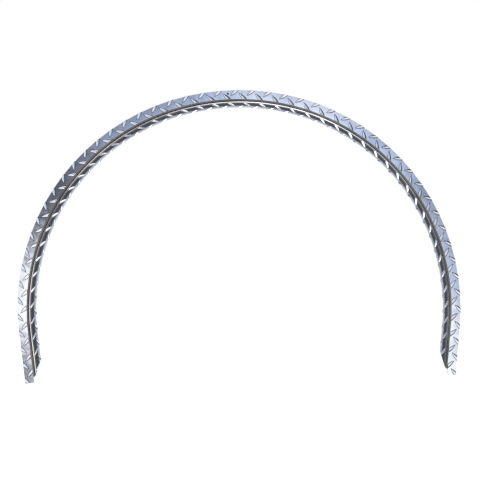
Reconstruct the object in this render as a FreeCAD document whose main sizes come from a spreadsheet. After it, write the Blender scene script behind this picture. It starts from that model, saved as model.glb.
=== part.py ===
import FreeCAD, Part
import Sketcher
import math
import os
from FreeCAD import Matrix, Placement, Rotation, Vector

# Trailer mudguard: one strip of bright tread plate, folded to an L and rolled to an arch.
# X runs across the arch, Z up, and the tread side of the face looks along -Y.
# The origin is on the back of the face, at the middle of its flat at the crown.

doc = FreeCAD.newDocument("TrailerMudguard")

# name, value, what it is (millimetres and degrees)
DRIVING_SIZES = [
    ("CrownRadius", 480.0, "outer edge, radius over the crown"),
    ("CrownHalfAngle", 15.0, "crown arc, from the middle to its end"),
    ("ShoulderRadius", 450.5, "outer edge, radius of both shoulders"),
    ("TailAngle", 95.8, "direction of the straight tails, from level"),
    ("TailLength", 102.0, "straight run at each end"),
    ("FaceWidth", 23.0, "face, from the corner of the fold to the outer edge"),
    ("FlangeDepth", 25.4, "flange, from the front of the face to its back edge"),
    ("SheetThickness", 2.0, "plate without its tread"),
    ("FoldRadius", 4.6, "outside radius of the fold"),
    ("FlangeStop", 11.0, "fold left bare of flange at each end"),
    ("FlangeBevel", 32.0, "length of the slanted end of the flange"),
    ("HoleDiameter", 4.0, "screw hole in the face"),
    ("HoleOffset", 14.0, "screw hole, left of the middle of the crown"),
    ("HoleInset", 7.0, "screw hole, in from the outer edge"),
    ("LugPitch", 32.8, "tread, from lug to lug along the fold"),
    ("LugRowSpacing", 16.4, "tread, from row to row across the strip"),
    ("LugLength", 35.5, "lug, tip to tip at its sunk root"),
    ("LugWidth", 8.6, "lug, at its middle and its sunk root"),
    ("LugHeight", 1.3, "lug, above the plate"),
    ("LugAngle", 45.0, "lug, from the run of the strip"),
    ("FoldMargin", 0.5, "bare plate between the fold and the tread"),
    ("FaceRowPlace", 1.4, "middle of the inner face row, out from the fold"),
    ("FaceRowShift", -14.0, "inner face row, along from the middle of the crown"),
    ("FlangeRowPlace", 5.2, "middle of the first flange row, back from the fold"),
    ("FlangeRowShift", 4.3, "flange rows, along from the face rows"),
]


def fill_sheet():
    sheet = doc.addObject("Spreadsheet::Sheet", "Sizes")
    for row, (name, value, note) in enumerate(DRIVING_SIZES, start=1):
        sheet.set("A%d" % row, name)
        sheet.set("B%d" % row, str(value))
        sheet.set("C%d" % row, note)
        sheet.setAlias("B%d" % row, name)
    doc.recompute()
    return sheet


sizes = fill_sheet()


def size(name):
    return float(getattr(sizes, name))


def origin_plane(body, role):
    return next(f for f in body.Origin.OriginFeatures if f.Role == role)


def mirrored(point):
    return Vector(-point.x, point.y, point.z)


class FoldLine:
    """The corner where the planes of the face and the flange meet, seen from the front."""

    def __init__(self):
        inset = size("FaceWidth")
        flat_middle = (size("FaceWidth") - size("FoldRadius")) / 2
        self.crown_radius = size("CrownRadius") - inset
        self.shoulder_radius = size("ShoulderRadius") - inset
        self.crown_angle = math.radians(size("CrownHalfAngle"))
        self.tail_angle = math.radians(size("TailAngle"))
        self.tail_length = size("TailLength")
        self.crown_centre = Vector(0, 0, flat_middle - size("CrownRadius"))
        offset = self.crown_radius - self.shoulder_radius
        self.shoulder_centre = self.crown_centre + self.outward(self.crown_angle) * offset
        self.tail_start = self.shoulder_centre + self.outward(self.tail_angle) * self.shoulder_radius
        self.tail_end = self.tail_start + self.along(self.tail_angle) * self.tail_length
        self.crown_run = self.crown_radius * self.crown_angle
        self.shoulder_run = self.shoulder_radius * (self.tail_angle - self.crown_angle)
        self.half_run = self.crown_run + self.shoulder_run + self.tail_length

    @staticmethod
    def outward(angle):
        return Vector(math.sin(angle), 0, math.cos(angle))

    @staticmethod
    def along(angle):
        return Vector(math.cos(angle), 0, -math.sin(angle))

    def at(self, run):
        """Point and outward direction at a distance along the fold from the crown."""
        far = abs(run)
        if far <= self.crown_run:
            angle = far / self.crown_radius
            point = self.crown_centre + self.outward(angle) * self.crown_radius
        elif far <= self.crown_run + self.shoulder_run:
            angle = self.crown_angle + (far - self.crown_run) / self.shoulder_radius
            point = self.shoulder_centre + self.outward(angle) * self.shoulder_radius
        else:
            angle = self.tail_angle
            point = self.tail_start + self.along(angle) * (far - self.crown_run - self.shoulder_run)
        out = self.outward(angle)
        return (point, out) if run >= 0 else (mirrored(point), mirrored(out))


fold = FoldLine()
LUG_STEPS = 4
LUG_SINK = 1 / 3
LUG_BLUNTNESS = 4
TINY = 1e-6
FRONT = -size("SheetThickness")
SPARE = size("FoldRadius")


def on_face(run, place, height):
    """A point above the face: run along the fold, place out from where the fold ends."""
    corner, out = fold.at(run)
    return corner + out * (size("FoldRadius") + place) + Vector(0, FRONT - height, 0)


def on_flange(run, place, height):
    """A point above the flange: run along the fold, place back from where the fold ends."""
    corner, out = fold.at(run)
    return corner - out * height + Vector(0, FRONT + size("FoldRadius") + place, 0)


def fold_path(body):
    """Sketch of the fold line: two tails, two shoulders and the crown, all tangent."""
    sketch = body.newObject("Sketcher::SketchObject", "FoldPath")
    sketch.AttachmentSupport = [(origin_plane(body, "XZ_Plane"), "")]
    sketch.MapMode = "FlatFace"
    flat = lambda p: Vector(p.x, p.z, 0)
    crown, shoulder = flat(fold.crown_centre), flat(fold.shoulder_centre)
    left_shoulder = mirrored(shoulder)
    up = math.pi / 2
    a, b = fold.crown_angle, fold.tail_angle
    normal = Vector(0, 0, 1)
    left_tail = sketch.addGeometry(
        Part.LineSegment(mirrored(flat(fold.tail_end)), mirrored(flat(fold.tail_start))))
    left_arc = sketch.addGeometry(
        Part.ArcOfCircle(Part.Circle(left_shoulder, normal, fold.shoulder_radius), up + a, up + b))
    top_arc = sketch.addGeometry(
        Part.ArcOfCircle(Part.Circle(crown, normal, fold.crown_radius), up - a, up + a))
    right_arc = sketch.addGeometry(
        Part.ArcOfCircle(Part.Circle(shoulder, normal, fold.shoulder_radius), up - b, up - a))
    right_tail = sketch.addGeometry(
        Part.LineSegment(flat(fold.tail_start), flat(fold.tail_end)))
    start, end, centre = 1, 2, 3
    constrain = lambda *parts: sketch.addConstraint(Sketcher.Constraint(*parts))
    constrain("Tangent", left_tail, end, left_arc, end)
    constrain("Tangent", left_arc, start, top_arc, end)
    constrain("Tangent", top_arc, start, right_arc, end)
    constrain("Tangent", right_arc, start, right_tail, start)
    constrain("PointOnObject", top_arc, centre, -2)
    constrain("Symmetric", left_arc, centre, right_arc, centre, -2)
    constrain("Symmetric", left_tail, start, right_tail, end, -2)
    for name, parts, formula in (
            ("CrownLine", ("Radius", top_arc, fold.crown_radius), "Sizes.CrownRadius - Sizes.FaceWidth"),
            ("ShoulderLine", ("Radius", right_arc, fold.shoulder_radius),
             "Sizes.ShoulderRadius - Sizes.FaceWidth"),
            ("Tail", ("Distance", right_tail, fold.tail_length), "Sizes.TailLength"),
            ("CrownCentreX", ("DistanceX", top_arc, centre, right_arc, centre, shoulder.x - crown.x),
             "(Sizes.CrownRadius - Sizes.ShoulderRadius) * sin(Sizes.CrownHalfAngle * 1deg)"),
            ("CrownDepth", ("DistanceY", top_arc, centre, -1, 1, -crown.y),
             "Sizes.CrownRadius - (Sizes.FaceWidth - Sizes.FoldRadius) / 2"),
            ("TailSlope", ("Angle", right_tail, -b), "-Sizes.TailAngle * 1deg")):
        index = constrain(*parts)
        sketch.renameConstraint(index, name)
        sketch.setExpression("Constraints." + name, formula)
    return sketch


def fold_profile(body, path):
    """Sketch of the L-section, square to the left end of the fold line: x back, y inwards."""
    sketch = body.newObject("Sketcher::SketchObject", "FoldProfile")
    sketch.AttachmentSupport = [(path, "Edge1")]
    sketch.MapMode = "NormalToEdge"
    face, flange = size("FaceWidth"), size("FlangeDepth")
    plate, radius = size("SheetThickness"), size("FoldRadius")
    spot = lambda across, deep: Vector(FRONT + deep, -across, 0)
    line = lambda p, q: sketch.addGeometry(Part.LineSegment(spot(*p), spot(*q)))
    normal = Vector(0, 0, 1)
    middle = spot(radius, radius)
    front = line((face, 0), (radius, 0))
    outer_fold = sketch.addGeometry(
        Part.ArcOfCircle(Part.Circle(middle, normal, radius), math.pi / 2, math.pi))
    tread_side = line((0, radius), (0, flange))
    back_edge = line((0, flange), (plate, flange))
    wall_side = line((plate, flange), (plate, radius))
    inner_fold = sketch.addGeometry(
        Part.ArcOfCircle(Part.Circle(middle, normal, radius - plate), math.pi / 2, math.pi))
    back = line((radius, plate), (face, plate))
    outer_edge = line((face, plate), (face, 0))
    start, end, centre = 1, 2, 3
    constrain = lambda *parts: sketch.addConstraint(Sketcher.Constraint(*parts))
    constrain("Tangent", front, end, outer_fold, end)
    constrain("Tangent", outer_fold, start, tread_side, start)
    constrain("Coincident", tread_side, end, back_edge, start)
    constrain("Coincident", back_edge, end, wall_side, start)
    constrain("Tangent", wall_side, end, inner_fold, start)
    constrain("Tangent", inner_fold, end, back, start)
    constrain("Coincident", back, end, outer_edge, start)
    constrain("Coincident", outer_edge, end, front, start)
    constrain("Vertical", front)
    constrain("Horizontal", tread_side)
    constrain("Vertical", back_edge)
    constrain("Horizontal", outer_edge)
    constrain("Coincident", outer_fold, centre, inner_fold, centre)
    for name, parts, formula in (
            ("Fold", ("Radius", outer_fold, radius), "Sizes.FoldRadius"),
            ("Plate", ("Distance", back_edge, plate), "Sizes.SheetThickness"),
            ("FrontPlane", ("DistanceX", front, start, -1, 1, plate), "Sizes.SheetThickness"),
            ("Corner", ("DistanceY", tread_side, start, -1, 1, 0.0), None),
            ("Face", ("DistanceY", front, start, -1, 1, face), "Sizes.FaceWidth"),
            ("Flange", ("DistanceX", front, start, back_edge, start, flange), "Sizes.FlangeDepth")):
        index = constrain(*parts)
        sketch.renameConstraint(index, name)
        if formula:
            sketch.setExpression("Constraints." + name, formula)
    return sketch


def folded_sheet():
    """The strip itself: the L-section run along the fold line."""
    body = doc.addObject("PartDesign::Body", "FoldedSheet")
    path = fold_path(body)
    doc.recompute()
    profile = fold_profile(body, path)
    doc.recompute()
    pipe = body.newObject("PartDesign::AdditivePipe", "FoldedStrip")
    pipe.Profile = profile
    pipe.Spine = (path, ["Edge%d" % (i + 1) for i in range(len(path.Shape.Edges))])
    body.Tip = pipe
    doc.recompute()
    return body


def prism(name, corners, run):
    """A solid with the flat outline of corners, run as far as the vector run."""
    solid = doc.addObject("Part::Feature", name)
    solid.Shape = Part.Face(Part.makePolygon(corners + corners[:1])).extrude(run)
    return solid


def flange_end(name, side):
    """What is sheared off the flange at one end: side is -1 on the left and 1 on the right."""
    end, out = fold.at(side * fold.half_run)
    up = (fold.at(side * (fold.half_run - 1))[0] - end).normalize()
    stop, bevel, deep = size("FlangeStop"), size("FlangeBevel"), size("FlangeDepth")
    back = Vector(0, 1, 0)
    inner = end - out * SPARE + Vector(0, FRONT, 0)
    slant = bevel / deep
    outline = [(-SPARE, -SPARE), (stop - slant * SPARE, -SPARE),
               (stop + slant * (deep + SPARE), deep + SPARE), (-SPARE, deep + SPARE)]
    corners = [inner + up * run + back * depth for run, depth in outline]
    return prism(name, corners, out * (SPARE + size("FoldRadius")))


def arch_line(offset):
    """The edges of a line that runs beside the fold line, from the left end to the right."""
    def spot(run):
        point, out = fold.at(run)
        return point + out * offset

    crown, tail, end = fold.crown_run, fold.crown_run + fold.shoulder_run, fold.half_run
    shoulder = (crown + tail) / 2
    return [
        Part.LineSegment(spot(-end), spot(-tail)),
        Part.Arc(spot(-tail), spot(-shoulder), spot(-crown)),
        Part.Arc(spot(-crown), spot(0), spot(crown)),
        Part.Arc(spot(crown), spot(shoulder), spot(tail)),
        Part.LineSegment(spot(tail), spot(end)),
    ]


def tread_room(name, inner, outer, front, deep):
    """An arched solid that the lugs of one side are sheared to, in offsets from the fold line."""
    inside, outside = arch_line(inner), arch_line(outer)
    ends = [Part.LineSegment(inside[0].StartPoint, outside[0].StartPoint),
            Part.LineSegment(inside[-1].EndPoint, outside[-1].EndPoint)]
    edges = [line.toShape() for line in inside + outside + ends]
    outline = Part.Wire(Part.sortEdges(edges)[0])
    outline.translate(Vector(0, front, 0))
    room = doc.addObject("Part::Feature", name)
    room.Shape = Part.Face(outline).extrude(Vector(0, deep, 0))
    return room


def lug(surface, run, place, lean):
    """One pointed lug, its sunk root in the plate and its ridge above the surface.

    lean is 1 for a lug whose place grows along the run and -1 for one that drops."""
    angle = math.radians(size("LugAngle"))
    along = (math.cos(angle), lean * math.sin(angle))
    across = (-along[1], along[0])
    half_length, half_width = size("LugLength") / 2, size("LugWidth") / 2
    height = size("LugHeight")
    root = -height * LUG_SINK

    def spot(step, side, level):
        reach, width = step * half_length, side * half_width * (1 - step ** 2)
        return surface(run + along[0] * reach + across[0] * width,
                       place + along[1] * reach + across[1] * width, level)

    steps = [-1 + 2 * i / LUG_STEPS for i in range(LUG_STEPS + 1)]
    ridge = [spot(u, 0, root + (height - root) * (1 - u ** LUG_BLUNTNESS)) for u in steps]
    left = [spot(u, 1, root) for u in steps]
    right = [spot(u, -1, root) for u in steps]
    facets = []
    for edge_a, edge_b in ((ridge, left), (right, ridge), (left, right)):
        for i in range(LUG_STEPS):
            quad = [edge_a[i], edge_b[i], edge_b[i + 1], edge_a[i + 1]]
            for triangle in (quad[:3], [quad[0], quad[2], quad[3]]):
                if min((triangle[j] - triangle[j - 1]).Length for j in range(3)) > TINY:
                    facets.append(Part.Face(Part.makePolygon(triangle + triangle[:1])))
    solid = Part.Solid(Part.Shell(facets))
    if solid.Volume < 0:
        solid.reverse()
    return solid


def lug_row(surface, place, start, lean):
    """A row of lugs along the whole strip, one of them at the run start."""
    pitch, reach = size("LugPitch"), size("LugLength") / 2
    first = math.ceil((-fold.half_run - reach - start) / pitch)
    last = math.floor((fold.half_run + reach - start) / pitch)
    return [lug(surface, start + i * pitch, place, lean) for i in range(first, last + 1)]


def tread_lugs():
    """All lugs, sheared off at the edges and ends of the strip and flat over the fold."""
    spacing, half_pitch = size("LugRowSpacing"), size("LugPitch") / 2
    on_top, top_shift = size("FaceRowPlace"), size("FaceRowShift")
    below, below_shift = size("FlangeRowPlace"), top_shift + size("FlangeRowShift")
    bare = size("FoldRadius") + size("FoldMargin")
    face_room = tread_room("FaceRoom", bare, size("FaceWidth"), FRONT - SPARE, 2 * SPARE)
    flange_room = tread_room("FlangeRoom", -SPARE, SPARE, FRONT + bare,
                             size("FlangeDepth") - bare)
    face_lugs = (lug_row(on_face, on_top, top_shift, -1)
                 + lug_row(on_face, on_top + spacing, top_shift + half_pitch, 1))
    flange_lugs = (lug_row(on_flange, below, below_shift, 1)
                   + lug_row(on_flange, below + spacing, below_shift + half_pitch, -1))
    return (Part.makeCompound(face_lugs).common(face_room.Shape).Solids
            + Part.makeCompound(flange_lugs).common(flange_room.Shape).Solids)


def raised_plate(sheet):
    """The strip with its tread: every lug joined to the plate."""
    plate = doc.addObject("Part::Feature", "RaisedPlate")
    plate.Shape = sheet.Shape.multiFuse(tread_lugs())
    return plate


def screw_hole():
    """The hole for the screw that holds the crown, square to the face."""
    drill = doc.addObject("Part::Cylinder", "ScrewHole")
    drill.setExpression("Radius", "Sizes.HoleDiameter / 2")
    drill.setExpression("Height", "Sizes.SheetThickness * 4")
    point, out = fold.at(-size("HoleOffset"))
    centre = point + out * (size("FaceWidth") - size("HoleInset"))
    start = Vector(centre.x, -2 * size("SheetThickness"), centre.z)
    drill.Placement = Placement(start, Rotation(Vector(1, 0, 0), -90))
    return drill


def mudguard():
    """The finished part: the raised plate less its flange ends and the screw hole."""
    cutters = doc.addObject("Part::MultiFuse", "Cutters")
    cutters.Shapes = [flange_end("LeftFlangeEnd", -1), flange_end("RightFlangeEnd", 1), screw_hole()]
    part = doc.addObject("Part::Cut", "Mudguard")
    part.Label = "mudguard"
    part.Base = raised_plate(folded_sheet())
    part.Tool = cutters
    doc.recompute()
    return part


def check(part):
    for obj in doc.Objects:
        if "Invalid" in obj.State or "Error" in obj.State:
            raise RuntimeError("%s failed to build" % obj.Name)
    shape = part.Shape
    if shape.isNull() or not shape.isValid() or len(shape.Solids) != 1:
        raise RuntimeError("%s is not one valid solid" % part.Label)


part = mudguard()
check(part)
os.makedirs("parts", exist_ok=True)
part.Shape.exportStep("parts/%s.step" % part.Label)
box = part.Shape.optimalBoundingBox(True, False)
print("%s: %.0f mm wide, %.0f high, %.1f deep, %.1f cm3" % (
    part.Label, box.XLength, box.ZLength, box.YLength, part.Shape.Volume / 1000))
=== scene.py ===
import math

import bmesh
import bpy
from mathutils import Matrix, Vector


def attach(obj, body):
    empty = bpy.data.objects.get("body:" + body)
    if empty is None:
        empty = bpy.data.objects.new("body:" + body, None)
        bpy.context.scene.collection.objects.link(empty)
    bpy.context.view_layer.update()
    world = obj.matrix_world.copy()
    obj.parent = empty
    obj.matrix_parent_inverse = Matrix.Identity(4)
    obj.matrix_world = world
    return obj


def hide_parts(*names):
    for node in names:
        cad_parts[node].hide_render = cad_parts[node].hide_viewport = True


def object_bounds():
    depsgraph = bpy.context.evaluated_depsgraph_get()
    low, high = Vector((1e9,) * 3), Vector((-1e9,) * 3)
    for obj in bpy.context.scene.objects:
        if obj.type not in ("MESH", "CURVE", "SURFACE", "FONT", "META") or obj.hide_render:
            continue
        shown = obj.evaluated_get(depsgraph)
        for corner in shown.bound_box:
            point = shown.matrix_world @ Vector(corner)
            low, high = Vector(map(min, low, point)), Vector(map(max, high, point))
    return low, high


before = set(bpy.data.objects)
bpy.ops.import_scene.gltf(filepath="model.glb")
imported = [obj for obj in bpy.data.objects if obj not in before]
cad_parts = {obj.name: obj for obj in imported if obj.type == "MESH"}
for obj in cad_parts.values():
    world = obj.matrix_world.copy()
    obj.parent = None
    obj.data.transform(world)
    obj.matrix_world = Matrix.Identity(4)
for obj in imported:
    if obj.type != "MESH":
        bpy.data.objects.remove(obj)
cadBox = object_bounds()
scene = bpy.context.scene
scene.view_settings.view_transform = "Standard"

mm = 0.001  # the mudguard's sizes are in millimetres, the studio's in metres
turn = math.radians
cutDist = 0.001  # a point this near a cutting plane counts as on it


# the folded and rolled strip
arch = {
    "crownRadius": 480.0,  # outer edge over the crown
    "crownHalfAngle": 15.0,
    "shoulderRadius": 450.5,
    "tailAngle": 95.8,
    "tailLength": 102.0,
    "faceWidth": 23.0,  # from the corner of the fold to the outer edge
    "flangeDepth": 25.4,  # from the front of the face to the back edge
    "plate": 2.0,
    "foldRadius": 4.6,
    "foldSteps": 8,
    "bendLoop": 0.4,  # a loop this far beside the bend keeps the flats flat
    "crownSteps": 12,  # each side of the middle
    "shoulderSteps": 56,
    "tailSteps": 5,
    "flangeStop": 11.0,
    "flangeBevel": 32.0,
    "endZone": 80.0,  # all that the flange's slanted end can reach
    "holeDiameter": 4.0,
    "holeOffset": 14.0,
    "holeInset": 7.0,
    "holeSteps": 32,
    "boreTilt": 0.5,  # a face whose normal points less to the front than this is in the bore
    "drillLength": 20.0,
    "cutEdge": 0.25,  # how far the sheared edges are eased
    "shearedAngle": 60.0,  # edges sharper than this are sheared ones, and are eased
    "creaseAngle": 30.0,  # edges sharper than this are shaded sharp
    "weld": 0.01,
}

flatFace = arch["faceWidth"] - arch["foldRadius"]
foldArc = arch["foldRadius"] * turn(90)
flatFlange = arch["flangeDepth"] - arch["foldRadius"]
sheetWidth = flatFace + foldArc + flatFlange  # before it was folded
crownCentre = Vector((0, 0, flatFace / 2 - arch["crownRadius"]))
crownLine = arch["crownRadius"] - arch["faceWidth"]  # radius of the fold's corner
shoulderLine = arch["shoulderRadius"] - arch["faceWidth"]
crownAngle = turn(arch["crownHalfAngle"])
tailAngle = turn(arch["tailAngle"])


def outward(angle):
    return Vector((math.sin(angle), 0, math.cos(angle)))


shoulderCentre = crownCentre + outward(crownAngle) * (crownLine - shoulderLine)
crownRun = crownLine * crownAngle
shoulderRun = shoulderLine * (tailAngle - crownAngle)
halfRun = crownRun + shoulderRun + arch["tailLength"]


def foldFrame(run):
    # place on the fold's corner, the run of the strip there and the way out of the arch
    far, side = abs(run), (1 if run >= 0 else -1)
    if far <= crownRun:
        angle = far / crownLine
        place = crownCentre + outward(angle) * crownLine
    elif far <= crownRun + shoulderRun:
        angle = crownAngle + (far - crownRun) / shoulderLine
        place = shoulderCentre + outward(angle) * shoulderLine
    else:
        angle = tailAngle
        rest = far - crownRun - shoulderRun
        place = shoulderCentre + outward(angle) * shoulderLine + outward(angle + turn(90)) * rest
    out = outward(angle)
    place.x, out.x = place.x * side, out.x * side
    along = Vector((out.z, 0, -out.x))
    return place, along, out


def sectionPoints():
    # the tread side of the L-section over the crown, from the outer edge to the back edge
    radius, plate = arch["foldRadius"], arch["plate"]
    corner = crownCentre + Vector((0, -plate, crownLine))
    nearBend = radius + arch["bendLoop"]
    across = [arch["faceWidth"], (arch["faceWidth"] + radius) / 2, nearBend]
    points = [corner + Vector((0, 0, a)) for a in across]
    for step in range(arch["foldSteps"] + 1):
        angle = turn(90) * step / arch["foldSteps"]
        bend = Vector((0, 1 - math.cos(angle), 1 - math.sin(angle)))
        points.append(corner + bend * radius)
    back = [nearBend, (radius + arch["flangeDepth"]) / 2, arch["flangeDepth"]]
    points += [corner + Vector((0, d, 0)) for d in back]
    return points


def rolledStrip(bm):
    # the section is spun over the crown and one shoulder, drawn out along the tail, then mirrored
    points = [bm.verts.new(p) for p in sectionPoints()]
    chain = [bm.edges.new(pair) for pair in zip(points, points[1:])]
    acrossY = Vector((0, 1, 0))
    for centre, angle, steps in (
            (crownCentre, crownAngle, arch["crownSteps"]),
            (shoulderCentre, tailAngle - crownAngle, arch["shoulderSteps"])):
        made = bmesh.ops.spin(bm, geom=chain, cent=centre, axis=acrossY, angle=angle, steps=steps)
        chain = [g for g in made["geom_last"] if isinstance(g, bmesh.types.BMEdge)]
    _, along, _ = foldFrame(halfRun)
    for step in range(arch["tailSteps"]):
        made = bmesh.ops.extrude_edge_only(bm, edges=chain)
        ends = [g for g in made["geom"] if isinstance(g, bmesh.types.BMVert)]
        chain = [g for g in made["geom"] if isinstance(g, bmesh.types.BMEdge)]
        chain = [e for e in chain if all(v in ends for v in e.verts)]
        bmesh.ops.translate(bm, verts=ends, vec=along * arch["tailLength"] / arch["tailSteps"])
    whole = bm.verts[:] + bm.edges[:] + bm.faces[:]
    bmesh.ops.mirror(bm, geom=whole, axis="X", merge_dist=arch["weld"])
    bmesh.ops.remove_doubles(bm, verts=bm.verts, dist=arch["weld"])


def flangeCut(side):
    # the plane that the fold and flange stop at: a point on it and the way that is cut away
    place, along, out = foldFrame(side * halfRun)
    up = along * -side
    start = place + up * arch["flangeStop"] + Vector((0, -arch["plate"], 0))
    slant = up * arch["flangeBevel"] / arch["flangeDepth"] + Vector((0, 1, 0))
    away = slant.cross(out)
    if away.dot(up) > 0:
        away.negate()
    return place, up, out, start, away


def shearFlangeEnds(bm):
    # the fold and flange stop short of the face, and the flange ends on a slant
    for side in (-1, 1):
        place, up, out, start, away = flangeCut(side)
        near = []
        for face in bm.faces:
            centre = face.calc_center_median()
            if (centre.x * side > 0 and (centre - start).dot(up) < arch["endZone"]
                    and (centre - place).dot(out) < arch["foldRadius"]):
                near.append(face)
        edges = {e for f in near for e in f.edges}
        verts = {v for f in near for v in f.verts}
        bmesh.ops.bisect_plane(bm, geom=[*verts, *edges, *near], dist=cutDist,
                               plane_co=start, plane_no=away, clear_outer=True)


def thickenPlate(bm):
    # the skin is the tread side, so the plate grows behind it
    bmesh.ops.recalc_face_normals(bm, faces=bm.faces)
    middle = min(bm.faces, key=lambda f: f.calc_center_median().y)
    if middle.normal.y > 0:
        bmesh.ops.reverse_faces(bm, faces=bm.faces)
    bmesh.ops.solidify(bm, geom=bm.faces[:], thickness=arch["plate"])
    bmesh.ops.recalc_face_normals(bm, faces=bm.faces)
    sheared = [e for e in bm.edges if e.calc_face_angle(0) > turn(arch["shearedAngle"])]
    bmesh.ops.bevel(bm, geom=sheared, affect="EDGES", offset=arch["cutEdge"], segments=1,
                    profile=0.5, material=-1)


# the raised tread
tread = {
    "pitch": 32.8,
    "rowSpacing": 16.4,
    "length": 31.0,
    "width": 6.5,
    "height": 1.3,
    "sunk": 0.25,  # the lug's rim lies this far inside the plate
    "shadeLens": 0.7,  # how far the lens of painted shade round a lug reaches
    "shadeLensHeight": 0.04,
    "shadeLensRise": 0.1,  # what the rise attribute says at the plate
    "angle": 45.0,
    "longSteps": 10,
    "wideSteps": 4,
    "margin": 0.3,  # bare plate beside the fold
    "faceRow": 1.4,
    "faceShift": -14.0,
    "flangeRow": 5.2,
    "flangeShift": 4.3,
}


def oneLug():
    # a flat grid pulled into a pointed lens with a rounded back, in a thin wider lens that carries
    # painted shade round the lug's rim
    bm = bmesh.new()
    bmesh.ops.create_grid(bm, x_segments=tread["longSteps"], y_segments=1, size=1)
    for vert in bm.verts:
        x, y = vert.co.x, vert.co.y
        vert.co = (x * (tread["length"] / 2 + tread["shadeLens"]),
                   y * (1 - x * x) * (tread["width"] / 2 + tread["shadeLens"]), tread["shadeLensHeight"])
    made = bmesh.ops.extrude_edge_only(bm, edges=[e for e in bm.edges if e.is_boundary])
    lower = [g for g in made["geom"] if isinstance(g, bmesh.types.BMVert)]
    bmesh.ops.translate(bm, verts=lower, vec=(0, 0, -tread["shadeLensHeight"] - tread["sunk"]))
    lug = bmesh.ops.create_grid(bm, x_segments=tread["longSteps"],
                                y_segments=tread["wideSteps"], size=1)
    for vert in lug["verts"]:
        x, y = vert.co.x, vert.co.y
        lens = 1 - x * x
        rise = (1 - abs(x) ** 3) * (1 - y * y)
        vert.co.x = x * tread["length"] / 2
        vert.co.y = y * lens * tread["width"] / 2
        vert.co.z = rise * (tread["height"] + tread["sunk"]) - tread["sunk"]
    bmesh.ops.remove_doubles(bm, verts=bm.verts, dist=arch["weld"])
    sunkRim = [e for e in bm.edges if e.is_boundary and e.verts[0].co.z < 0]
    bmesh.ops.holes_fill(bm, edges=sunkRim)
    return bm


def shearLug(lug, co, no):
    # cut the lug with a plane and close the cut
    geom = lug.verts[:] + lug.edges[:] + lug.faces[:]
    made = bmesh.ops.bisect_plane(lug, geom=geom, dist=cutDist,
                                  plane_co=co, plane_no=no, clear_outer=True)
    cut = [g for g in made["geom_cut"] if isinstance(g, bmesh.types.BMEdge)]
    if cut:
        bmesh.ops.holes_fill(lug, edges=cut)


def addLug(bm, lugMesh, matrix, planes, ends):
    # a copy of the lug, turned and placed on its flat, sheared at the edges, then set on the strip
    lug = bmesh.new()
    lug.from_mesh(lugMesh)
    turned, placed = matrix
    bmesh.ops.transform(lug, matrix=turned, verts=lug.verts)
    for co, no in planes:
        shearLug(lug, co, no)
    bmesh.ops.transform(lug, matrix=placed, verts=lug.verts)
    for co, no in ends:
        shearLug(lug, co, no)
    if lug.faces:
        bmesh.ops.recalc_face_normals(lug, faces=lug.faces)
        mesh = bpy.data.meshes.new("lug")
        lug.to_mesh(mesh)
        bm.from_mesh(mesh)
        bpy.data.meshes.remove(mesh)
    lug.free()


def basis(x, y, z, place):
    return Matrix.Translation(place) @ Matrix((x, y, z)).transposed().to_4x4()


def treadLugs(bm):
    # four rows: two on the face, two on the flange, leaning by turns
    base = oneLug()
    lugMesh = bpy.data.meshes.new("lugShape")
    base.to_mesh(lugMesh)
    base.free()
    radius, plate = arch["foldRadius"], arch["plate"]
    spacing, half = tread["rowSpacing"], tread["pitch"] / 2
    faceStart = tread["faceShift"]
    flangeStart = faceStart + tread["flangeShift"]
    rows = [
        ("face", tread["faceRow"], faceStart, -1),
        ("face", tread["faceRow"] + spacing, faceStart + half, 1),
        ("flange", -tread["flangeRow"], flangeStart, -1),
        ("flange", -tread["flangeRow"] - spacing, flangeStart + half, 1),
    ]
    reach = tread["length"] / 2
    front = Vector((0, -1, 0))
    for zone, row, start, lean in rows:
        low, high = tread["margin"], flatFace
        if zone == "flange":
            low, high = -flatFlange, -tread["margin"]
        leaning = Matrix.Rotation(lean * turn(tread["angle"]), 4, "Z")
        turned = Matrix.Translation((0, row, 0)) @ leaning
        first = math.ceil((-halfRun - reach - start) / tread["pitch"])
        last = math.floor((halfRun + reach - start) / tread["pitch"])
        for i in range(first, last + 1):
            run = start + i * tread["pitch"]
            place, along, out = foldFrame(run)
            if zone == "face":
                placed = basis(along, out, front, place + out * radius + front * plate)
            else:
                placed = basis(along, front, -out, place + front * (plate - radius))
            planes = [((0, high, 0), (0, 1, 0)), ((0, low, 0), (0, -1, 0)),
                      ((halfRun - run, 0, 0), (1, 0, 0)), ((-halfRun - run, 0, 0), (-1, 0, 0))]
            ends = []
            if zone == "flange" and abs(run) > halfRun - arch["endZone"]:
                ends = [flangeCut(1 if run > 0 else -1)[3:]]
            addLug(bm, lugMesh, (turned, placed), planes, ends)
    bpy.data.meshes.remove(lugMesh)


def stripPlace(point):
    # how far out from the fold's corner a point lies, and how deep behind the front of the face
    flat = Vector((abs(point.x), 0, point.z))
    fromCrown = flat - crownCentre
    fromShoulder = flat - shoulderCentre
    if math.atan2(fromCrown.x, fromCrown.z) < crownAngle:
        across = fromCrown.length - crownLine
    elif math.atan2(fromShoulder.x, fromShoulder.z) < tailAngle:
        across = fromShoulder.length - shoulderLine
    else:
        across = fromShoulder.dot(outward(tailAngle)) - shoulderLine
    return across, point.y + arch["plate"]


def sheetShare(point):
    # where a point lay on the flat sheet: 0 at the outer edge of the face, 1 at the back edge
    across, deep = stripPlace(point)
    radius = arch["foldRadius"]
    if deep > radius:
        place = flatFace + foldArc + deep - radius
    elif across > radius:
        place = arch["faceWidth"] - across
    else:
        place = flatFace + radius * math.atan2(radius - across, radius - deep)
    return place / sheetWidth


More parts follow.
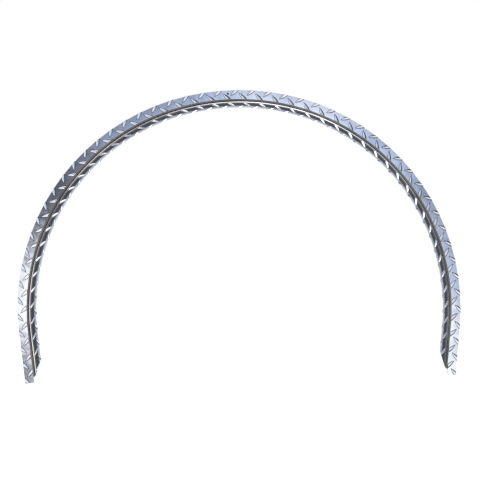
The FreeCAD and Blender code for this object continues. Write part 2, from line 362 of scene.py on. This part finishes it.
def plateZone(face):
    # 0 tread side, 1 fold and bore, 2 back and cut edges; the bore takes the fold's dark colour as
    # painted shade in the hole
    centre = face.calc_center_median()
    across, deep = stripPlace(centre)
    fromHole = centre - holeCentre()
    inHole = math.hypot(fromHole.x, fromHole.z) < arch["holeDiameter"] / 2
    # painted shade: the bore is given the dark fold colour
    if inHole and abs(face.normal.y) < arch["boreTilt"]:
        return 1
    radius, skin = arch["foldRadius"], arch["plate"] / 4  # this deep is still the tread side
    if across < radius and deep < radius:
        fromMiddle = math.hypot(radius - across, radius - deep)
        return 1 if fromMiddle > radius - skin else 2
    return 0 if min(deep, across) < skin else 2


def holeCentre():
    place, _, out = foldFrame(-arch["holeOffset"])
    return place + out * (arch["faceWidth"] - arch["holeInset"])


def toHole(bm, behind):
    # from flat at the origin to upright at the hole
    upright = Matrix.Rotation(turn(90), 3, "X")
    bmesh.ops.rotate(bm, verts=bm.verts, cent=(0, 0, 0), matrix=upright)
    bmesh.ops.translate(bm, verts=bm.verts, vec=holeCentre() + Vector((0, behind, 0)))


def asObject(name, bm, scale=mm):
    bmesh.ops.scale(bm, verts=bm.verts, vec=(scale, scale, scale))
    mesh = bpy.data.meshes.new(name)
    bm.to_mesh(mesh)
    bm.free()
    made = bpy.data.objects.new(name, mesh)
    scene.collection.objects.link(made)
    return made


def drillHole(piece):
    bm = bmesh.new()
    radius = arch["holeDiameter"] / 2
    bmesh.ops.create_cone(bm, cap_ends=True, segments=arch["holeSteps"], radius1=radius,
                          radius2=radius, depth=arch["drillLength"])
    toHole(bm, 0)
    drill = asObject("drill", bm)
    cut = piece.modifiers.new("drill", "BOOLEAN")
    cut.operation = "DIFFERENCE"
    cut.solver = "EXACT"
    cut.object = drill
    drilled = piece.evaluated_get(bpy.context.evaluated_depsgraph_get())
    applied = bpy.data.meshes.new_from_object(drilled)
    piece.modifiers.clear()
    piece.data = applied
    bpy.data.objects.remove(drill)


def buildMudguard():
    bm = bmesh.new()
    rolledStrip(bm)
    shearFlangeEnds(bm)
    thickenPlate(bm)
    piece = asObject("treadPlate", bm)
    bpy.context.view_layer.update()
    drillHole(piece)
    print("strip rolled, folded and drilled:", len(piece.data.polygons), "faces")

    bm = bmesh.new()
    bm.from_mesh(piece.data)
    bmesh.ops.scale(bm, verts=bm.verts, vec=(1 / mm, 1 / mm, 1 / mm))
    plateVerts, plateFaces = len(bm.verts), len(bm.faces)
    treadLugs(bm)
    bm.verts.ensure_lookup_table()
    bm.faces.ensure_lookup_table()
    for face in bm.faces:
        face.smooth = True
        face.material_index = 0
    crease = turn(arch["creaseAngle"])
    for edge in bm.edges:
        edge.smooth = len(edge.link_faces) == 2 and edge.calc_face_angle(0) < crease
    rise = bm.verts.layers.float.new("rise")
    sheet = bm.verts.layers.float.new("sheet")
    foot = tread["shadeLensRise"]
    for vert in bm.verts[:plateVerts]:
        vert[sheet] = sheetShare(vert.co)
    for vert in bm.verts[plateVerts:]:
        across, deep = stripPlace(vert.co)
        above = -deep if across > arch["foldRadius"] else -across
        vert[rise] = foot + (1 - foot) * max(0.0, above) / tread["height"]
    for face in bm.faces[:plateFaces]:
        face.material_index = plateZone(face)
    bmesh.ops.scale(bm, verts=bm.verts, vec=(mm, mm, mm))
    bm.to_mesh(piece.data)
    print("tread raised:", len(bm.faces) - plateFaces, "lug faces")
    bm.free()
    return piece


mudguard = buildMudguard()


# colours and roughness of the metal
finish = {
    "plate": (0.93, 0.94, 0.96, 1),
    "plateDull": (0.74, 0.76, 0.81, 1),
    "lugTop": (0.98, 0.98, 1.0, 1),
    "lugRimShade": (0.12, 0.12, 0.14, 1),
    # painted shade: the fold's base colours are kept dark so the band looks shaded
    "fold": (0.21, 0.20, 0.185, 1),
    "foldDull": (0.14, 0.135, 0.125, 1),
    # painted light across the flat sheet: how far in from the outer edge, and how bright; the fold
    # gets a painted shade line and a painted highlight line, the flange painted shade and its back
    # edge a painted highlight
    "foldPaintedLight": [(18.4, 0.95), (21.3, 1.0), (22.0, 0.16), (22.9, 0.16), (23.6, 3.4), (24.6, 3.2),
                  (25.6, 1.3)],
    "platePaintedLight": [(0.0, 0.80), (9.0, 0.88), (18.4, 1.0), (25.6, 0.34), (28.0, 0.20), (30.0, 0.09),
                   (37.0, 0.10), (40.5, 0.75), (42.5, 0.9)],
    "back": (0.70, 0.71, 0.73, 1),
    "backDull": (0.52, 0.53, 0.55, 1),
    "onLug": 0.05,  # from this rise on it is a lug or its lens of painted shade
    "climb": (0.22, 0.45),  # the rise where the painted shade on the lens and low slopes ends and where the bright top starts
    "grainSize": 900.0,  # this many to the metre, as the next two
    "patchSize": 14.0,
    "waveSize": 45.0,
    "patchRange": (0.42, 0.62),
    "noiseDetails": (4, 2, 1),  # of patches, grain and waves
    "waveDepth": 0.0012,
    "grainDepth": 0.0002,
    "grainStrength": 0.12,
    "grainRoughness": 0.10,  # what the grain adds to the roughness
    "plateRoughness": 0.13,
    "plateWaves": 0.6,
    "foldRoughness": 0.22,
    "foldWaves": 0.25,
    "backRoughness": 0.42,
    "backWaves": 0.2,
    "backMetallic": 0.8,
}


def socket(tree, name, inOut, kind="NodeSocketFloat", value=None):
    made = tree.interface.new_socket(name=name, in_out=inOut, socket_type=kind)
    if value is not None:
        made.default_value = value
    return made


def rolledGrain():
    # fine mill grain, wider dull patches and the small waves of rolled sheet
    tree = bpy.data.node_groups.new("rolledGrain", "ShaderNodeTree")
    socket(tree, "Clean", "INPUT", "NodeSocketColor", finish["back"])
    socket(tree, "Dull", "INPUT", "NodeSocketColor", finish["backDull"])
    socket(tree, "Grain size", "INPUT", value=finish["grainSize"])
    socket(tree, "Patch size", "INPUT", value=finish["patchSize"])
    socket(tree, "Roughness", "INPUT", value=finish["backRoughness"])
    socket(tree, "Wave height", "INPUT", value=finish["backWaves"])
    socket(tree, "Color", "OUTPUT", "NodeSocketColor")
    socket(tree, "Roughness", "OUTPUT")
    socket(tree, "Normal", "OUTPUT", "NodeSocketVector")
    nodes, links = tree.nodes, tree.links
    given = nodes.new("NodeGroupInput")
    result = nodes.new("NodeGroupOutput")
    place = nodes.new("ShaderNodeTexCoord")
    patches, grain, waves = (nodes.new("ShaderNodeTexNoise") for _ in range(3))
    for noise, detail in zip((patches, grain, waves), finish["noiseDetails"]):
        noise.inputs["Detail"].default_value = detail
        links.new(place.outputs["Object"], noise.inputs["Vector"])
    waves.inputs["Scale"].default_value = finish["waveSize"]
    links.new(given.outputs["Patch size"], patches.inputs["Scale"])
    links.new(given.outputs["Grain size"], grain.inputs["Scale"])
    spread = nodes.new("ShaderNodeMapRange")
    spread.inputs["From Min"].default_value = finish["patchRange"][0]
    spread.inputs["From Max"].default_value = finish["patchRange"][1]
    links.new(patches.outputs["Fac"], spread.inputs["Value"])
    tint = nodes.new("ShaderNodeMix")
    tint.data_type = "RGBA"
    links.new(spread.outputs["Result"], tint.inputs["Factor"])
    links.new(given.outputs["Clean"], tint.inputs["A"])
    links.new(given.outputs["Dull"], tint.inputs["B"])
    links.new(tint.outputs["Result"], result.inputs["Color"])
    rough = nodes.new("ShaderNodeMath")
    rough.operation = "MULTIPLY_ADD"
    rough.inputs[1].default_value = finish["grainRoughness"]
    links.new(grain.outputs["Fac"], rough.inputs[0])
    links.new(given.outputs["Roughness"], rough.inputs[2])
    links.new(rough.outputs["Value"], result.inputs["Roughness"])
    wavy = nodes.new("ShaderNodeBump")
    wavy.inputs["Distance"].default_value = finish["waveDepth"]
    links.new(given.outputs["Wave height"], wavy.inputs["Strength"])
    links.new(waves.outputs["Fac"], wavy.inputs["Height"])
    grainy = nodes.new("ShaderNodeBump")
    grainy.inputs["Strength"].default_value = finish["grainStrength"]
    grainy.inputs["Distance"].default_value = finish["grainDepth"]
    links.new(grain.outputs["Fac"], grainy.inputs["Height"])
    links.new(wavy.outputs["Normal"], grainy.inputs["Normal"])
    links.new(grainy.outputs["Normal"], result.inputs["Normal"])
    return tree


grainGroup = rolledGrain()


def metal(name, clean, dull, roughness, waves):
    material = bpy.data.materials.new(name)
    material.use_nodes = True
    nodes, links = material.node_tree.nodes, material.node_tree.links
    shader = nodes["Principled BSDF"]
    shader.inputs["Metallic"].default_value = 1.0
    grain = nodes.new("ShaderNodeGroup")
    grain.node_tree = grainGroup
    grain.inputs["Clean"].default_value = clean
    grain.inputs["Dull"].default_value = dull
    grain.inputs["Grain size"].default_value = finish["grainSize"]
    grain.inputs["Patch size"].default_value = finish["patchSize"]
    grain.inputs["Roughness"].default_value = roughness
    grain.inputs["Wave height"].default_value = waves
    links.new(grain.outputs["Color"], shader.inputs["Base Color"])
    links.new(grain.outputs["Roughness"], shader.inputs["Roughness"])
    links.new(grain.outputs["Normal"], shader.inputs["Normal"])
    return material, grain, shader


def paintLightAcrossSheet(material, colour, tones):
    # the colour, made darker or brighter by where it lies across the sheet: painted shade and
    # painted highlight
    nodes, links = material.node_tree.nodes, material.node_tree.links
    sheet = nodes.new("ShaderNodeAttribute")
    sheet.attribute_name = "sheet"
    curve = nodes.new("ShaderNodeFloatCurve")
    most = max(tone for _, tone in tones)
    points = curve.mapping.curves[0].points
    while len(points) < len(tones):
        points.new(0.5, 0.5)  # all are put in their places below
    for point, (place, tone) in zip(points, tones):
        point.location = (place / sheetWidth, tone / most)
        point.handle_type = "VECTOR"
    curve.mapping.update()
    links.new(sheet.outputs["Fac"], curve.inputs["Value"])
    strength = nodes.new("ShaderNodeMath")
    strength.operation = "MULTIPLY"
    strength.inputs[1].default_value = most
    links.new(curve.outputs["Value"], strength.inputs[0])
    scaled = nodes.new("ShaderNodeVectorMath")
    scaled.operation = "SCALE"
    links.new(colour, scaled.inputs[0])
    links.new(strength.outputs["Value"], scaled.inputs["Scale"])
    return scaled.outputs["Vector"]


def treadMetal():
    # plate and lugs are one metal: the lugs' tops are burnished, and painted shade darkens their
    # low slopes and the lens round their rims
    material, grain, shader = metal("brightTread", finish["plate"], finish["plateDull"],
                                    finish["plateRoughness"], finish["plateWaves"])
    nodes, links = material.node_tree.nodes, material.node_tree.links
    rise = nodes.new("ShaderNodeAttribute")
    rise.attribute_name = "rise"
    onLug = nodes.new("ShaderNodeMath")
    onLug.operation = "GREATER_THAN"
    onLug.inputs[1].default_value = finish["onLug"]
    links.new(rise.outputs["Fac"], onLug.inputs[0])
    # painted shade: this ramp darkens each lug's surrounding lens and low slopes, standing in for
    # the shadow at its foot
    climb = nodes.new("ShaderNodeValToRGB")
    stops = zip(climb.color_ramp.elements, finish["climb"], (finish["lugRimShade"], finish["lugTop"]))
    for stop, place, colour in stops:
        stop.position, stop.color = place, colour
    links.new(rise.outputs["Fac"], climb.inputs["Fac"])
    # painted light: darker towards the face's outer edge, the flange darkened as painted shade,
    # and its back edge brightened as a painted highlight
    plate = paintLightAcrossSheet(material, grain.outputs["Color"], finish["platePaintedLight"])
    tint = nodes.new("ShaderNodeMix")
    tint.data_type = "RGBA"
    links.new(onLug.outputs["Value"], tint.inputs["Factor"])
    links.new(plate, tint.inputs["A"])
    links.new(climb.outputs["Color"], tint.inputs["B"])
    links.new(tint.outputs["Result"], shader.inputs["Base Color"])
    return material


def foldMetal():
    # the tread is pressed flat here; its dark grey-brown colour is painted shade, with a painted
    # shade line along its inside and a painted highlight line where it turns into the flange
    material, grain, shader = metal("foldPaintedShade", finish["fold"], finish["foldDull"],
                                    finish["foldRoughness"], finish["foldWaves"])
    fold = paintLightAcrossSheet(material, grain.outputs["Color"], finish["foldPaintedLight"])
    material.node_tree.links.new(fold, shader.inputs["Base Color"])
    return material


def backMetal():
    material, _, shader = metal("millBack", finish["back"], finish["backDull"],
                                finish["backRoughness"], finish["backWaves"])
    shader.inputs["Metallic"].default_value = finish["backMetallic"]
    return material


for build in (treadMetal, foldMetal, backMetal):  # in the order of plateZone's numbers
    mudguard.data.materials.append(build())
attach(mudguard, "root")
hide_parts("mudguard")
print("finish on")


# floor and light
studio = {
    "fill": (0.92, 0.95, 1.0, 1),  # plain light on everything
    "fillStrength": 0.75,
    "background": (1, 1, 1, 1),
    "floorSize": 6.0,
    "floorColour": (0.88, 0.88, 0.88, 1),
    "floorRoughness": 0.9,
    "floorGlow": 0.45,
    # the dark disc behind the hole is painted shade
    "holeShadeRadius": 2.4,  # in millimetres, as at the hole
    "holeShadeGap": 0.3,
    "holeShadeSteps": 24,
    "holeShadeColour": (0.01, 0.01, 0.012, 1),
    "keyPlace": (-1.6, -0.2, 1.4),
    "keyAim": (0, 0, -0.3),
    "keySize": 1.0,
    "keyPower": 20,
    "lens": 26.1,  # focal length in millimetres
    "lensShift": (-0.0247, 0.1),
    "nearest": 0.01,
    "cameraPlace": (0.0272, -0.722, -0.4008),
    "cameraTurn": (90, 1.15, 0),  # degrees
}

# what the bright metal mirrors: sky colours by direction, softened at their edges
mirrored = {
    "sky": (0.55, 0.68, 0.95, 1),  # high in front
    "yard": (0.88, 0.85, 0.80, 1),  # low in front
    "shade": (0.07, 0.07, 0.08, 1),  # right of the arch
    "glare": (0.74, 0.75, 0.80, 1),  # left of the arch
    "ground": (0.55, 0.59, 0.68, 1),  # behind it
    "sideEdge": (0.2, -0.1),  # where shade fades to glare, from right to left
    "skyEdge": (0.0, 0.22),  # where the yard fades to the sky, upwards
    "frontEdge": (-0.70, -0.79),  # where the sides fade to what is in front
    "groundEdge": (0.38, 0.55),  # where they fade to the ground behind
    "glowCore": 0.35,  # the share of a glow that has its full colour
    "glows": [  # direction, how wide, colour
        ((-0.26, -0.865, 0.42), 0.26, (0.35, 0.42, 0.60, 1)),
        ((0.12, -0.875, 0.465), 0.24, (0.86, 0.94, 1.12, 1)),
        ((-0.47, -0.85, 0.24), 0.23, (0.062, 0.068, 0.092, 1)),
        ((-0.59, -0.80, -0.13), 0.30, (1.12, 1.20, 1.30, 1)),
        ((-0.547, -0.837, -0.025), 0.12, (1.55, 1.57, 1.60, 1)),
        ((-0.54, -0.826, -0.195), 0.12, (0.08, 0.09, 0.12, 1)),
        ((-0.30, -0.82, -0.46), 0.30, (1.2, 1.2, 1.25, 1)),
        ((-0.76, -0.59, 0.25), 0.32, (1.25, 1.25, 1.3, 1)),
        ((0.455, -0.873, 0.20), 0.14, (0.27, 0.33, 0.46, 1)),
        ((0.54, -0.83, -0.05), 0.26, (0.52, 0.65, 0.92, 1)),
        ((0.495, -0.854, -0.19), 0.17, (1.26, 1.31, 1.38, 1)),
        ((0.82, -0.52, -0.25), 0.45, (1.0, 0.96, 0.90, 1)),
        ((0.51, 0.36, -0.78), 0.45, (1.9, 1.9, 1.95, 1)),
        ((0.93, 0.30, 0.00), 0.55, (1.9, 1.9, 1.95, 1)),
        ((-0.80, 0.50, -0.15), 0.46, (0.05, 0.055, 0.07, 1)),
        ((0.32, 0.53, -0.78), 0.24, (0.06, 0.065, 0.08, 1)),
        ((0.76, 0.50, -0.42), 0.26, (0.10, 0.10, 0.11, 1)),
        ((-0.20, 0.50, -0.84), 0.50, (3.6, 3.8, 4.1, 1)),
    ],
}


def mixColours(nodes, links, factor, a, b):
    mix = nodes.new("ShaderNodeMix")
    mix.data_type = "RGBA"
    for end, name in ((factor, "Factor"), (a, "A"), (b, "B")):
        if isinstance(end, bpy.types.NodeSocket):
            links.new(end, mix.inputs[name])
        else:
            mix.inputs[name].default_value = end
    return mix.outputs["Result"]


def fade(nodes, links, value, edge):
    step = nodes.new("ShaderNodeMapRange")
    step.interpolation_type = "SMOOTHSTEP"
    step.inputs["From Min"].default_value, step.inputs["From Max"].default_value = edge
    links.new(value, step.inputs["Value"])
    return step.outputs["Result"]


def makeWorld():
    world = bpy.data.worlds.new("paleSky")
    scene.world = world
    world.use_nodes = True
    nodes, links = world.node_tree.nodes, world.node_tree.links
    way = nodes.new("ShaderNodeTexCoord").outputs["Generated"]
    axes = nodes.new("ShaderNodeSeparateXYZ")
    links.new(way, axes.inputs["Vector"])
    x, y, z = (axes.outputs[name] for name in "XYZ")
    left = fade(nodes, links, x, mirrored["sideEdge"])
    colour = mixColours(nodes, links, left, mirrored["shade"], mirrored["glare"])
    high = fade(nodes, links, z, mirrored["skyEdge"])
    inFront = fade(nodes, links, y, mirrored["frontEdge"])
    front = mixColours(nodes, links, high, mirrored["yard"], mirrored["sky"])
    colour = mixColours(nodes, links, inFront, colour, front)
    behind = fade(nodes, links, y, mirrored["groundEdge"])
    colour = mixColours(nodes, links, behind, colour, mirrored["ground"])
    for direction, wide, glow in mirrored["glows"]:
        far = nodes.new("ShaderNodeVectorMath")
        far.operation = "DISTANCE"
        links.new(way, far.inputs[0])
        far.inputs[1].default_value = Vector(direction).normalized()
        near = fade(nodes, links, far.outputs["Value"], (wide, wide * mirrored["glowCore"]))
        colour = mixColours(nodes, links, near, colour, glow)
    shine = nodes.new("ShaderNodeBackground")
    links.new(colour, shine.inputs["Color"])
    plain = nodes["Background"]
    plain.inputs["Color"].default_value = studio["fill"]
    plain.inputs["Strength"].default_value = studio["fillStrength"]
    white = nodes.new("ShaderNodeBackground")
    white.inputs["Color"].default_value = studio["background"]
    path = nodes.new("ShaderNodeLightPath")
    lit = nodes.new("ShaderNodeMixShader")
    links.new(path.outputs["Is Glossy Ray"], lit.inputs["Fac"])
    links.new(plain.outputs["Background"], lit.inputs[1])
    links.new(shine.outputs["Background"], lit.inputs[2])
    seen = nodes.new("ShaderNodeMixShader")
    links.new(path.outputs["Is Camera Ray"], seen.inputs["Fac"])
    links.new(lit.outputs["Shader"], seen.inputs[1])
    links.new(white.outputs["Background"], seen.inputs[2])
    links.new(seen.outputs["Shader"], nodes["World Output"].inputs["Surface"])


def makeFloor():
    # pale floor that keeps the shadow, and that bright metal sees past to the sky it mirrors
    bm = bmesh.new()
    bmesh.ops.create_grid(bm, x_segments=1, y_segments=1, size=studio["floorSize"])
    bmesh.ops.translate(bm, verts=bm.verts, vec=(0, 0, cadBox[0][2]))
    floor = asObject("floor", bm, 1)
    material = bpy.data.materials.new("paleFloor")
    material.use_nodes = True
    nodes, links = material.node_tree.nodes, material.node_tree.links
    shader = nodes["Principled BSDF"]
    shader.inputs["Base Color"].default_value = studio["floorColour"]
    shader.inputs["Roughness"].default_value = studio["floorRoughness"]
    shader.inputs["Specular IOR Level"].default_value = 0.0
    shader.inputs["Emission Color"].default_value = studio["background"]
    path = nodes.new("ShaderNodeLightPath")
    glow = nodes.new("ShaderNodeMath")
    glow.operation = "MULTIPLY"
    glow.inputs[1].default_value = studio["floorGlow"]
    links.new(path.outputs["Is Camera Ray"], glow.inputs[0])
    links.new(glow.outputs["Value"], shader.inputs["Emission Strength"])
    clear = nodes.new("ShaderNodeBsdfTransparent")
    mix = nodes.new("ShaderNodeMixShader")
    links.new(path.outputs["Is Glossy Ray"], mix.inputs["Fac"])
    links.new(shader.outputs["BSDF"], mix.inputs[1])
    links.new(clear.outputs["BSDF"], mix.inputs[2])
    links.new(mix.outputs["Shader"], nodes["Material Output"].inputs["Surface"])
    floor.data.materials.append(material)


def makeHoleShade():
    # a small dark disc right behind the screw hole, painted shade standing in for the dark seen
    # through the hole, which the studio would fill with white
    bm = bmesh.new()
    bmesh.ops.create_circle(bm, cap_ends=True, segments=studio["holeShadeSteps"],
                            radius=studio["holeShadeRadius"])
    toHole(bm, studio["holeShadeGap"])
    shadeDisc = asObject("holeShade", bm)
    material = bpy.data.materials.new("paintedHoleShade")
    material.use_nodes = True
    shader = material.node_tree.nodes["Principled BSDF"]
    shader.inputs["Base Color"].default_value = studio["holeShadeColour"]
    shader.inputs["Roughness"].default_value = studio["floorRoughness"]
    shadeDisc.data.materials.append(material)


def makeKey():
    lamp = bpy.data.lights.new("key", "AREA")
    lamp.size, lamp.energy = studio["keySize"], studio["keyPower"]
    holder = bpy.data.objects.new("key", lamp)
    holder.location = studio["keyPlace"]
    aim = Vector(studio["keyAim"]) - Vector(studio["keyPlace"])
    holder.rotation_euler = aim.to_track_quat("-Z", "Y").to_euler()
    holder.visible_glossy = False  # the metal mirrors only the world
    scene.collection.objects.link(holder)


def makeCamera():
    camera = bpy.data.cameras.new("camera")
    camera.lens = studio["lens"]
    camera.shift_x, camera.shift_y = studio["lensShift"]
    camera.clip_start = studio["nearest"]
    holder = bpy.data.objects.new("camera", camera)
    holder.location = studio["cameraPlace"]
    holder.rotation_euler = [turn(angle) for angle in studio["cameraTurn"]]
    scene.collection.objects.link(holder)
    scene.camera = holder


makeWorld()
makeFloor()
makeHoleShade()
makeKey()
makeCamera()
print("studio set")
